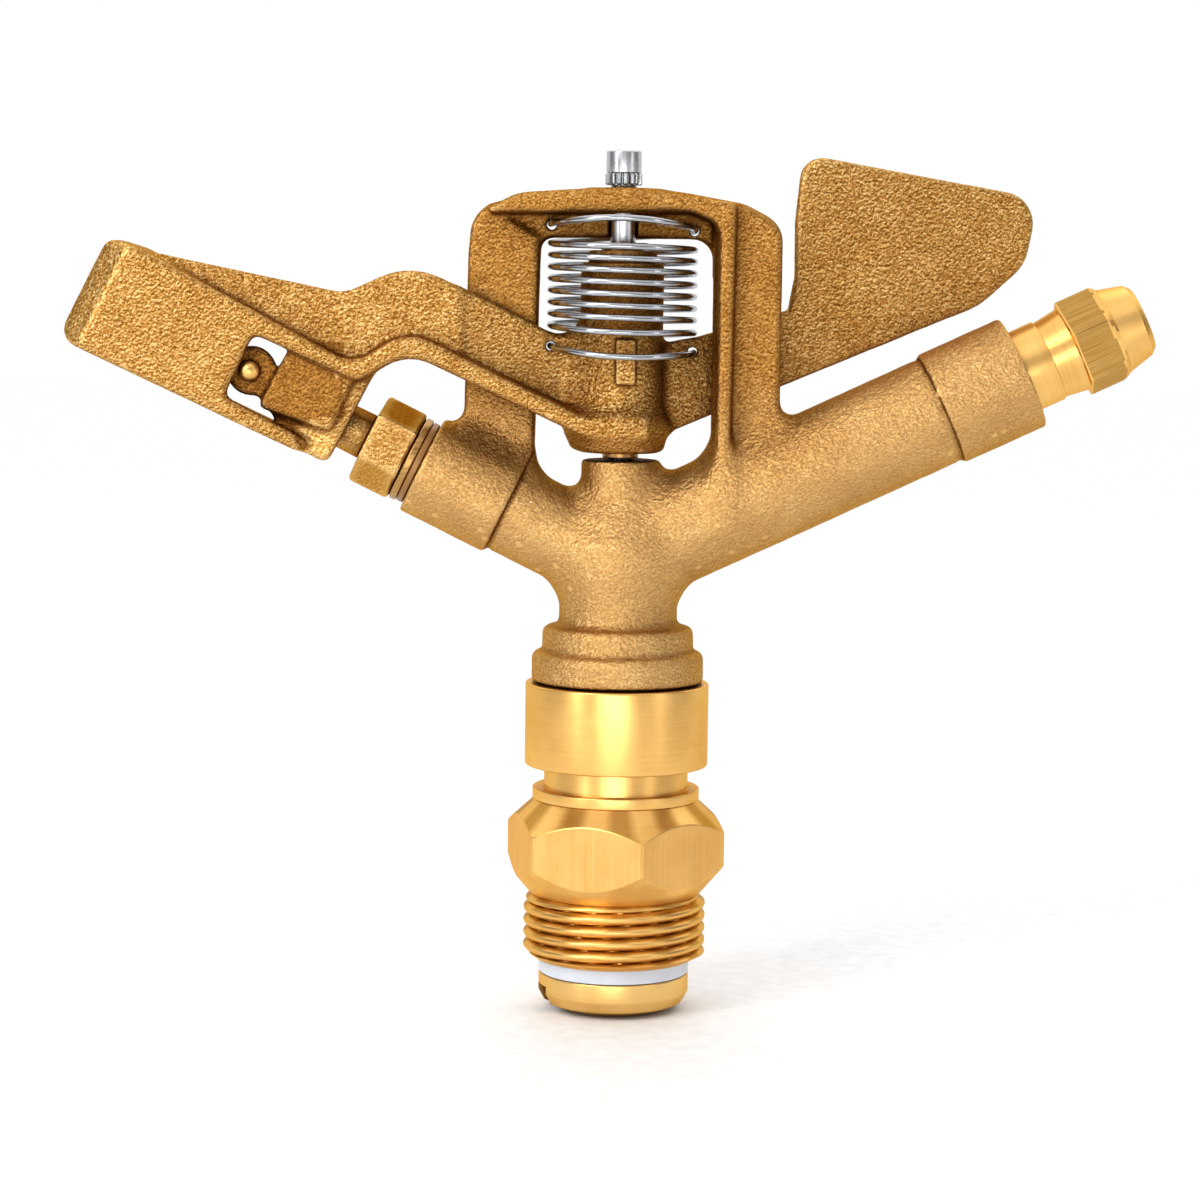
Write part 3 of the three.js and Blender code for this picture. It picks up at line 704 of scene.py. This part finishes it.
def studio():
    surroundings()
    soft_light("key", (-0.5, -0.6, 0.6), (0.4, 0.4), 3.4)
    soft_light("right", (0.7, -0.5, 0.2), (0.12, 0.6), 0.6)
    soft_light("left", (-0.65, -0.55, 0.2), (0.12, 0.6), 1.4)
    soft_light("front", (-0.05, -0.8, 0.04), (0.5, 0.1), 1.7, aim=(0, 0, 0.04))
    reach, drop = 3000, -0.3  # millimetres
    points = [(x, y, drop) for x, y in
              ((-reach, -reach), (reach, -reach), (reach, reach), (-reach, reach))]
    paper = moulded("pale_floor", (0.88, 0.88, 0.88), 0.6)
    new_piece("floor", points, [(0, 1, 2, 3)], paper, smooth=False)
    bpy.context.scene.view_settings.view_transform = "Standard"


camera()
studio()


# ---- Body casting ----
def barrel_profile(barrel):
    tube, collar, step, end = (barrel[k] for k in ("tube", "collar", "step", "end"))
    seam = 0.25
    return [
        (tube, -2, 4), (tube, step - 1.0, 0.4), (tube - seam, step - 0.4),
        (collar - seam, step + 0.1, 0.3), (collar, step + 0.6, 0.5), (collar, end, 0.4),
    ]


def bore_profile(barrel):
    end, bore, socket = barrel["end"], barrel["bore"], barrel["socket"]
    return [
        (bore, 0), (bore, end - SOCKET_DEPTH), (socket, end - SOCKET_DEPTH), (socket, end + 2),
    ]


def on_barrel(space, barrel, side, points):
    return revolved(space, points, height=barrel["z"], lean=barrel_lean(barrel, side))


def bridge_distance(space):
    """The bridge: a flat loop, with a band over the spring and a rib down its right leg."""
    foot, left, right = 90, -29.0, 29.0
    top_left, lower_left = (-27.5, 147.2, 6.4), (-28.2, 138)
    window_left, window_right, window_foot = -14.8, 16.3, -15.9
    rib_right = 20.4
    left_and_top = slab(space, [
        (left, foot), lower_left, top_left, (-15, 150.1, 12), (7, 151.0, 40), (22.4, 148.3, 9),
        (right, 144.7, 5), (right, 134), (window_right, 134), (window_right, 141.7, 3.5),
        (window_left, 141.7, 2), (window_foot, foot),
    ], -0.8, 3)
    leg = slab(space, [
        (left, foot), lower_left, top_left, (-24.8, 147.8), (-15.0, 141.9), (window_foot, foot),
    ], -1.7, 3)
    right_leg = slab(space, [
        (16.4, foot), (16.4, 148.9), (22.4, 148.1, 9), (right, 144.5, 5), (right, foot),
    ], -3.8, 0.3)
    rib = slab(space, [(17.2, foot), (17.2, 149), (rib_right, 148.5), (19.8, foot)], -8, -2.8)
    band = slab(space, [
        (-23.5, 146.0), (-26.0, 146.2, 0.5), (-19, 149.8, 8), (0, 151.1, 60), (rib_right, 148.5),
        (rib_right, 143), (17.2, 140), (17.2, 144.6, 3.4), (12, 146.6),
    ], -8, 3.6)
    boss = revolved(space, [(7.5, 146.2), (7.5, 150.9)])
    whole = united(left_and_top, leg, right_leg, rib, band, boss)
    return softened(whole, space.shape, 0.55)


def body_casting():
    space = Space("body_casting")
    column = revolved(space, [
        (14.55, 55.6, 0.3), (14.55, 60.8), (15.85, 60.8, 0.4), (15.85, 66.0, 1.5),
        (14.0, 66.6, 0.8), (13.85, 70.7, 1.3), (10.9, 71.5, 1.4), (10.9, 86),
    ])
    boss = revolved(space, [(7.15, 84), (7.15, 101.6, 0.7)])
    ranging = on_barrel(space, RANGE, 1, barrel_profile(RANGE))
    spreading = on_barrel(space, SPREADER, -1, barrel_profile(SPREADER))
    ball = np.sqrt(space.x ** 2 + space.y ** 2 + (space.z - 83.5) ** 2) - 10.5
    barrels = filleted(filleted(ranging, spreading, 5), ball, 4)
    trunk = filleted(filleted(barrels, column, 3.6), boss, 3.5)
    whole = filleted(trunk, bridge_distance(space), 3.8)
    below, above = BODY_BOTTOM - 3, BRIDGE_TOP + 3
    holes = united(
        on_barrel(space, RANGE, 1, bore_profile(RANGE)),
        on_barrel(space, SPREADER, -1, bore_profile(SPREADER)),
        drilled(space, STEM_SOCKET, below, STEM_TOP + 1.4),
        drilled(space, 7.6, below, 86),
        drilled(space, PIN_RADIUS + 0.3, 93.7, above),
        drilled_along_y(space, SPRING_HOLE, -13.0, 144.1, -2.5, 5),
        drilled_along_y(space, SPRING_HOLE, 13.0, 143.25, -2.5, 5),
    )
    piece = casting_mesh("body_casting_skin", space, np.maximum(whole, -holes), CAST_BODY)
    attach(piece, "head")
    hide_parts("body_casting")


# ---- Swing arm ----
def spoon_distance(space):
    """The spoon: a face plate with walls behind it, sloped off at its far end."""
    (ax, az), (bx, bz) = SPOON_TOP_LEFT, SPOON_BOTTOM_LEFT
    top_right, bottom_right = (-86.5, 138.9, 3), (-57.7, 102.3)
    frame_points = [
        (5, 109.2), (-5.5, 109.2, 10), (-38.6, 125.0, 8), (-48.3, 118.7, 6), top_right,
        (ax, az, 2.4), (bx, bz, 3.2), bottom_right, (-58.3, 105.8), (-71.3, 112.7, 1),
        (-66.2, 123.6, 1), (-47.4, 115.3, 3), (-38.5, 120.6, 8), (-6.5, 105.9, 6), (5, 105.9),
    ]
    face = slab(space, frame_points, SPOON_FRONT, -7.5)
    flange = np.maximum(slab(space, frame_points, SPOON_FRONT, -2.4), -56 - space.x)
    outside = slab(space, [
        (-47.8, 118.4), top_right, (ax, az, 2.4), (bx, bz, 3.2), bottom_right,
    ], -8.5, 4)
    hollow = slab(space, [
        (-44, 112.5), (-47.6, 115.7), (-66.4, 125.0), (-86.5, 135.6), (-90.4, 136.4, 1.5),
        (-97.3, 123.4, 1.5), (-56.4, 104.6), (-50, 101),
    ], -9.5, 8)
    spoon = united(face, flange, np.maximum(outside, -hollow))
    length = math.hypot(bx - ax, bz - az)
    from_end = ((space.x - ax) * (bz - az) - (space.z - az) * (bx - ax)) / length
    behind = SPOON_FRONT - space.y
    slope = from_end / BEVEL_WIDTH + behind / BEVEL_DEPTH + 1
    return np.maximum(spoon, slope / math.hypot(1 / BEVEL_WIDTH, 1 / BEVEL_DEPTH))


def arm_distance(space):
    screw_x, screw_z = SCREW
    top_plate = slab(space, [
        (-28.5, 118), (-28.5, 132.4), (-38.5, 137.0, 13), (-50.1, 131.4, 6), (-90.8, 139.5),
        (-86, 137), (-48.3, 117), (-38.6, 123),
    ], -6.6, -4)
    web = arm_slab(space, [
        (3, 107), (3, 121.5), (-13.2, 124.8, 6), (-30.7, 133.4), (-30.7, 118.5),
    ])
    screw_plate = slab(space, [
        (-60.6, 118.2), (-60.6, 122), (-43.9, 117.8), (-53.1, 100.2, 1.5), (-58, 102.5),
        (-66.0, 112.6),
    ], -6.6, -4.6, 0.3)
    eye = drilled_along_y(space, 4.7, screw_x + 0.3, screw_z, -6.6, -4.6)
    vane = slab(space, [
        (-60.4, 121), (-48.2, 115.9), (-52.3, 106, 1.5), (-65.8, 110.6),
    ], -8.2, -6.2, 0.4)
    eye_bridge = block(space, (-71.6, -5.6, 116.6), (4, 2, 2.4))
    plates = united(spoon_distance(space), top_plate, web, screw_plate, eye, vane, eye_bridge)
    plates = softened(plates, space.shape, 0.6)
    weight = arm_slab(space, [
        (0, 105.5), (9, 106.6), (62, 128.3), (66.9, 130.2, 12), (75.5, 137.9, 8),
        (77.9, 150.3, 6), (33.2, 157.6, 4), (31.9, 145), (32.0, 135.2), (30.9, 129.2),
        (14, 124.1), (0, 121.5),
    ])
    hub = revolved(space, [
        (HUB_RADIUS, HUB_BOTTOM, 0.5), (HUB_RADIUS, 137.4, 0.5), (6.3, 137.4), (6.3, 139.6, 0.3),
    ])
    foot = revolved(space, [
        (8.3, HUB_BOTTOM, 0.6), (9.7, HUB_BOTTOM + 3, 2), (9.7, 109.2, 1.2),
    ], centre=(-0.8, 0))
    whole = filleted(filleted(hub, plates, 5), foot, 1.5)
    key = block(space, (0.7, -8.0, 119.6), (3.7, 2.8, 8.2))
    return united(filleted(whole, weight, 1.5), key)


def bevel_normal():
    (ax, az), (bx, bz) = SPOON_TOP_LEFT, SPOON_BOTTOM_LEFT
    end_normal = Vector((bz - az, 0, ax - bx)).normalized()
    return (end_normal / BEVEL_WIDTH - Vector((0, 1, 0)) / BEVEL_DEPTH).normalized()


def on_tongue(c, n):
    return -61 < c.x < -50 and c.z < 108 and c.y > -7.2 and n.y < -0.6


def in_spoon_window(c, n):
    near = -73 < c.x < -50 and 104 < c.z < 122.5 and -8.5 < c.y < -3
    return near and n.y < 0.5 and math.hypot(c.x + 53, c.z - 101) > 8


def under_spring(c, n):
    return c.z > SPRING_SEAT and math.hypot(c.x, c.y) < HUB_RADIUS + 0.3


def swing_arm():
    space = Space("swing_arm")
    below, above = HUB_BOTTOM - 3, 143
    holes = united(
        drilled(space, PIN_RADIUS + 0.6, below, above),
        drilled(space, BUSHING_SEAT, below, HUB_BOTTOM + 12),
        drilled(space, BUSHING_SEAT, 127.6, above),
        drilled_along_y(space, 1.7, *SCREW, -9, -3),
        drilled_along_y(space, SPRING_HOLE, -12.92, 122.2, -6, 6),
        drilled_along_y(space, SPRING_HOLE, 12.95, 121.3, -6, 6),
    )
    piece = casting_mesh("swing_arm_skin", space, np.maximum(arm_distance(space), -holes), CAST)
    slope = bevel_normal()
    tint(piece, CAST_SMOOTH, lambda c, n: c.x < -84 and n.dot(slope) > 0.93)
    tint(piece, CAST_SMOOTH, on_tongue)
    # Painted shade on the faces recessed in the spoon's window and on the hub under the spring.
    tint(piece, CAST_SHADE, in_spoon_window)
    tint(piece, CAST_SHADE, under_spring)
    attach(piece, "arm")
    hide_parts("swing_arm")


body_casting()
swing_arm()


# ---- Turned pieces ----
def turned_piece(node, rows, body, material, angles=None, place=Matrix.Identity(4)):
    angles = columns() if angles is None else angles
    piece = skin(node + "_skin", rows, angles, material, place)
    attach(piece, body)
    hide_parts(node)
    return piece


def thread_rows(angles, bottom, top, pitch, root, crest, step=0.12):
    """A right-hand thread with round crests and sharp valleys, which runs out at both ends."""
    rows = []
    for z in np.arange(bottom, top, step):
        phase = (z / pitch - angles / (2 * math.pi)) % 1
        form = np.sin(math.pi * phase) ** 0.62
        fade = min(1, (z - bottom) / (0.25 * pitch), (top - z) / (0.6 * pitch))
        rows.append((root + (crest - root) * form * fade, z))
    return rows


def bearing_nipple():
    """From below: the thread, a slope out to the hexagon, its flats, a slope in, and the neck."""
    turn, flats, corner = 13.3 - 90, 36.4, 20.8
    bore, bottom, neck_top = 10.95, 9.4, 48
    low_start, low_radius, low_run = 21.6, 15.9, 5.8
    high_end, high_radius, high_run = 38.4, 15.7, 4.7
    low_slope, high_slope = (corner - low_radius) / low_run, (corner - high_radius) / high_run
    angles = columns(2.5, corner_columns(turn, 1.0))
    rows = rows_of([(bore, bottom), (14.9, bottom, 0.2), (15.4, 9.8)])[:-1]  # then the thread
    rows += thread_rows(angles, 9.85, 21.4, 2.309, 15.4, 16.85)
    side = np.minimum(hexagon_radius(angles, flats, turn), corner)
    edge = 0.12
    for share in (0, 0.5):
        height = low_start + share * (side - low_radius) / low_slope
        rows.append((low_radius + (height - low_start) * low_slope, height))
    bottom_edge = low_start + (side - low_radius) / low_slope
    top_edge = high_end - (side - high_radius) / high_slope
    rows.append((side - edge * low_slope, bottom_edge - edge))
    for share in np.linspace(0, 1, 7):
        rows.append((side, bottom_edge + edge + share * (top_edge - bottom_edge - 2 * edge)))
    rows.append((side - edge * high_slope, top_edge + edge))
    for share in (0.5, 1):
        height = top_edge + share * (high_end - top_edge)
        rows.append((high_radius + (high_end - height) * high_slope, height))
    rows += rows_of([
        (15.4, 38.5, 0.15), (15.4, 41.1, 0.25), (13.3, 40.9, 0.15), (13.25, neck_top, 0.3),
        (bore, neck_top, 0.3),
    ])
    piece = turned_piece(
        "bearing_nipple", rows, "nipple", TURNED_NIPPLE, angles,
    )

    def on_flat(c, n):
        return 22 < c.z < 38 and abs(n.z) < 0.05 and math.hypot(c.x, c.y) > low_radius
    tint(piece, MILLED, on_flat)


def stem_tube():
    notch_at, notch_half, notch_top, notch_radius = 196.0, 11.0, 4.4, 11.2
    rim, flange_top, bore, tube = 13.9, 6.5, 8, 10.6
    sides = [notch_at + s * h for s in (-1, 1) for h in (notch_half, notch_half - 0.3)]
    angles = columns(2.5, sides)
    in_notch = np.abs(apart(np.degrees(angles), notch_at)) < notch_half - 0.1
    rows = []
    for radius, height in rows_of([
        (bore, 0, 0.3), (10.2, 0, 0.3), (12.8, 1.1, 0.6), (rim, 3.1, 0.6), (rim, notch_top),
        (rim, notch_top + 0.1), (rim, flange_top, 0.25), (tube, flange_top, 0.2),
        (tube, 69, 0.3), (bore, 69, 0.3),
    ]):
        if 11 < radius and height < notch_top + 0.05:
            radius = np.where(in_notch, np.minimum(radius, notch_radius), radius)
        rows.append((radius, height))
    piece = turned_piece("stem_tube", rows, "head", TURNED_STEM, angles)

    def inside_notch(c, n):
        beside = abs(apart(math.degrees(math.atan2(c.y, c.x)), notch_at))
        on_wall = math.hypot(c.x, c.y) < 12.9 or abs(n.z) > 0.95
        return beside < notch_half and 0.1 < c.z < notch_top + 0.08 and on_wall
    # Painted shade inside the notch.
    tint(piece, CAST_DARK_SHADE, inside_notch)


def plain_ring(node, body, inner, outer, bottom, top, material, rounding=0.3,
               place=Matrix.Identity(4)):
    rows = rows_of([
        (inner, bottom, rounding), (outer, bottom, rounding), (outer, top, rounding),
        (inner, top, rounding),
    ])
    turned_piece(node, rows, body, material, place=place)


def range_nozzle():
    end, flats, turn = RANGE["end"], 16.4, 12.0
    shank, nose, orifice, corner = 7.7, 104.7, 3.6, 9.38
    angles = columns(5, corner_columns(turn, 1.2))
    side = np.minimum(hexagon_radius(angles, flats, turn), corner)
    rows = rows_of([(6.1, end - 9, 0.2), (shank, end - 9, 0.3), (shank, 90.6, 0.2)])
    rows += [(np.minimum(side, 8.2) - 0.25, 90.75), (side - 0.05, 91.0)]
    rows += [(side, height) for height in (91.3, 94, 97.6)]
    rows += [(np.minimum(side, r), height) for r, height in ((9.2, 98.0), (8.7, 98.5), (8.2, 98.9))]
    rows += rows_of([
        (8.15, 99.0), (6.9, 103.7, 0.6), (5.9, nose, 0.4), (orifice, nose, 0.4),
        (orifice, 98.7, 0.5),
    ])
    place = along_barrel(RANGE, 1)
    piece = turned_piece(
        "range_nozzle", rows, "head", TURNED_RANGE, angles, place,
    )
    start = place @ Vector()
    axis = (place @ Vector((0, 0, 1)) - start).normalized()

    def on_flat(c, n):
        return 91 < (c - start).dot(axis) < 97.8 and abs(n.dot(axis)) < 0.05
    tint(piece, MILLED_RANGE, on_flat)


def spreader_nozzle():
    end, flats, turn = SPREADER["end"], 14.9, 7.0
    shank, tip, orifice, corner = 5.6, 57.4, 2.0, 8.5
    angles = columns(5, corner_columns(turn, 1.5))
    side = np.minimum(hexagon_radius(angles, flats, turn), corner)
    rows = rows_of([(4.2, end - 8, 0.2), (shank, end - 8, 0.3), (shank, 43.3, 0.1)])
    rows += [(side - 0.8, 43.4), (side - 0.25, 43.55)]
    rows += [(side, height) for height in (44.0, 46, 49, 50.7)]
    rows += [(side - 0.25, 51.15), (side - 0.8, 51.3)]
    rows += rows_of([
        (4.3, 51.3, 0.3), (4.2, tip, 0.4), (orifice, tip, 0.3), (orifice, 52.4, 0.5),
    ])
    place = along_barrel(SPREADER, -1)
    piece = turned_piece(
        "spreader_nozzle", rows, "head", CAST_TIP, angles, place,
    )
    # Painted shade on the spreader nozzle's upward faces.
    tint(piece, CAST_DARK_SHADE, lambda c, n: c.x > -51 and n.z > 0.3 and n.y > -0.8)
    tint(piece, CAST_NOZZLE, lambda c, n: c.x > -51 and n.z < -0.5 and n.y < 0)


def fulcrum_pin():
    start, top, foot, head = BRIDGE_TOP + 0.3, box_mm("fulcrum_pin")[1][2], 94, 3.2
    angles = columns(2)
    teeth = 0.36 * np.clip(1.6 * np.cos(17 * angles) + 0.3, -1, 0.5)
    rows = rows_of([
        (0, foot), (PIN_RADIUS, foot, 0.4), (PIN_RADIUS, start, 0.1), (3.15, start, 0.1),
    ])
    rows += [(head + teeth, start + rise) for rise in (0.15, 1.0, 1.9)]
    rows += rows_of([
        (3.05, start + 2.0, 0.1), (head, start + 2.2, 0.1), (head, top, 0.4), (0, top),
    ])
    turned_piece("fulcrum_pin", rows, "head", PIN_STEEL, angles)


def arm_bushing_upper():
    top, bottom, inner, outer, flange = box_mm("arm_bushing_upper")[1][2], 128.6, 2.6, 3.9, 4.6
    rows = rows_of([
        (inner, bottom, 0.2), (outer, bottom, 0.2), (outer, top - 1.1), (flange, top - 1.1, 0.2),
        (flange, top, 0.3), (inner, top, 0.2),
    ])
    turned_piece("arm_bushing_upper", rows, "arm", BRONZE)


def diffuser_screw():
    screw_x, screw_z = SCREW
    forwards = Matrix.Rotation(-math.pi / 2, 4, "X")
    place = Matrix.Translation((screw_x, 0, screw_z)) @ forwards
    rows = rows_of([(0, -9.8), (1.8, -7.8, 0.2), (1.8, -1.8, 0.2), (0, -1.8)])
    turned_piece("diffuser_screw", rows, "arm", TURNED, columns(10), place)


bearing_nipple()
stem_tube()
plain_ring("seal_washer", "washers", 10.9, 13.9, 6.6, 9.3, WHITE)
plain_ring("bearing_sleeve", "head", 14.9, 16.9, 45.3, 60.5, TURNED, 0.35)
range_nozzle()
spreader_nozzle()
ON_SPREADER = along_barrel(SPREADER, -1)
plain_ring("spreader_nozzle_washer", "head", 5.9, 7.9, 40.5, 41.75, FIBRE,
           place=ON_SPREADER)
plain_ring("spreader_lock_ring", "head", 5.9, 8.1, 41.85, 43.2, BRONZE,
           place=ON_SPREADER)
fulcrum_pin()
arm_bushing_upper()
plain_ring("arm_bushing_lower", "arm", 2.6, 3.9, 103.6, 114.5, BRONZE, 0.25)
plain_ring("pin_washer", "head", 2.6, 3.3, 101.9, 103.2, BRONZE, 0.2)
diffuser_screw()


# ---- Springs ----
def coil_mesh(name, radius, wire, heights):
    """A wire round the Z axis. heights holds (angle in degrees, z) pairs, joined smoothly."""
    around, per_turn = 12, 48
    knots = np.array(heights, float)
    count = int((knots[-1, 0] - knots[0, 0]) / 360 * per_turn)
    degrees = np.linspace(knots[0, 0], knots[-1, 0], count + 1)
    z = np.interp(degrees, knots[:, 0], knots[:, 1])
    z = np.convolve(np.pad(z, 3, mode="edge"), np.full(7, 1 / 7), mode="valid")
    a = np.radians(degrees)
    path = np.stack([radius * np.cos(a), radius * np.sin(a), z], 1)
    points, faces = [], []
    for i, p in enumerate(path):
        out = np.array([math.cos(a[i]), math.sin(a[i]), 0])
        from_end = min(i, count - i)
        r = wire / 2 * {0: 0.55, 1: 0.85}.get(from_end, 1)
        for k in range(around):
            turn = 2 * math.pi * k / around
            points.append(p + r * (out * math.cos(turn) + np.array([0, 0, math.sin(turn)])))
    for i in range(count):
        here, there = i * around, (i + 1) * around
        for k in range(around):
            m = (k + 1) % around
            faces.append((here + k, here + m, there + m, there + k))
    faces.append(tuple(range(around))[::-1])
    faces.append(tuple(range(count * around, (count + 1) * around)))
    return new_piece(name, points, faces, STEEL)


def arm_spring():
    """Its ends bend away to their holes, and the turns between are even."""
    heights = [
        (165, 144.3), (180, 144.1), (270, 145.6), (360, 143.3), (540, 140.7), (630, 140.3),
        (3060, 126.0), (3150, 124.9), (3240, 124.9), (3420, 122.4), (3510, 120.4),
        (3600, 121.2), (3612, 121.4),
    ]
    piece = coil_mesh("arm_spring_skin", 13.15, 1.2, heights)
    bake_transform(piece)
    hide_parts("arm_spring")


def bearing_spring():
    low, high = box_mm("bearing_spring")
    wire = 1.5
    bottom, top = low[2] + wire / 2, high[2] - wire / 2
    heights = [(0, bottom), (180, bottom), (720, top), (900, top)]
    piece = coil_mesh("bearing_spring_skin", 12.3, wire, heights)
    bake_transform(piece)
    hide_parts("bearing_spring")


arm_spring()
bearing_spring()

# ---- CAD pieces that stay, inside the rest ----
KEPT = {
    "bearing_washer_lower": BRONZE, "bearing_washer_upper": BRONZE, "stem_gasket": RUBBER,
    "range_nozzle_seal": RUBBER, "stream_straightener": WHITE, "diffuser_nut": TURNED,
}
for node, material in KEPT.items():
    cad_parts[node].data.materials.clear()
    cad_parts[node].data.materials.append(material)
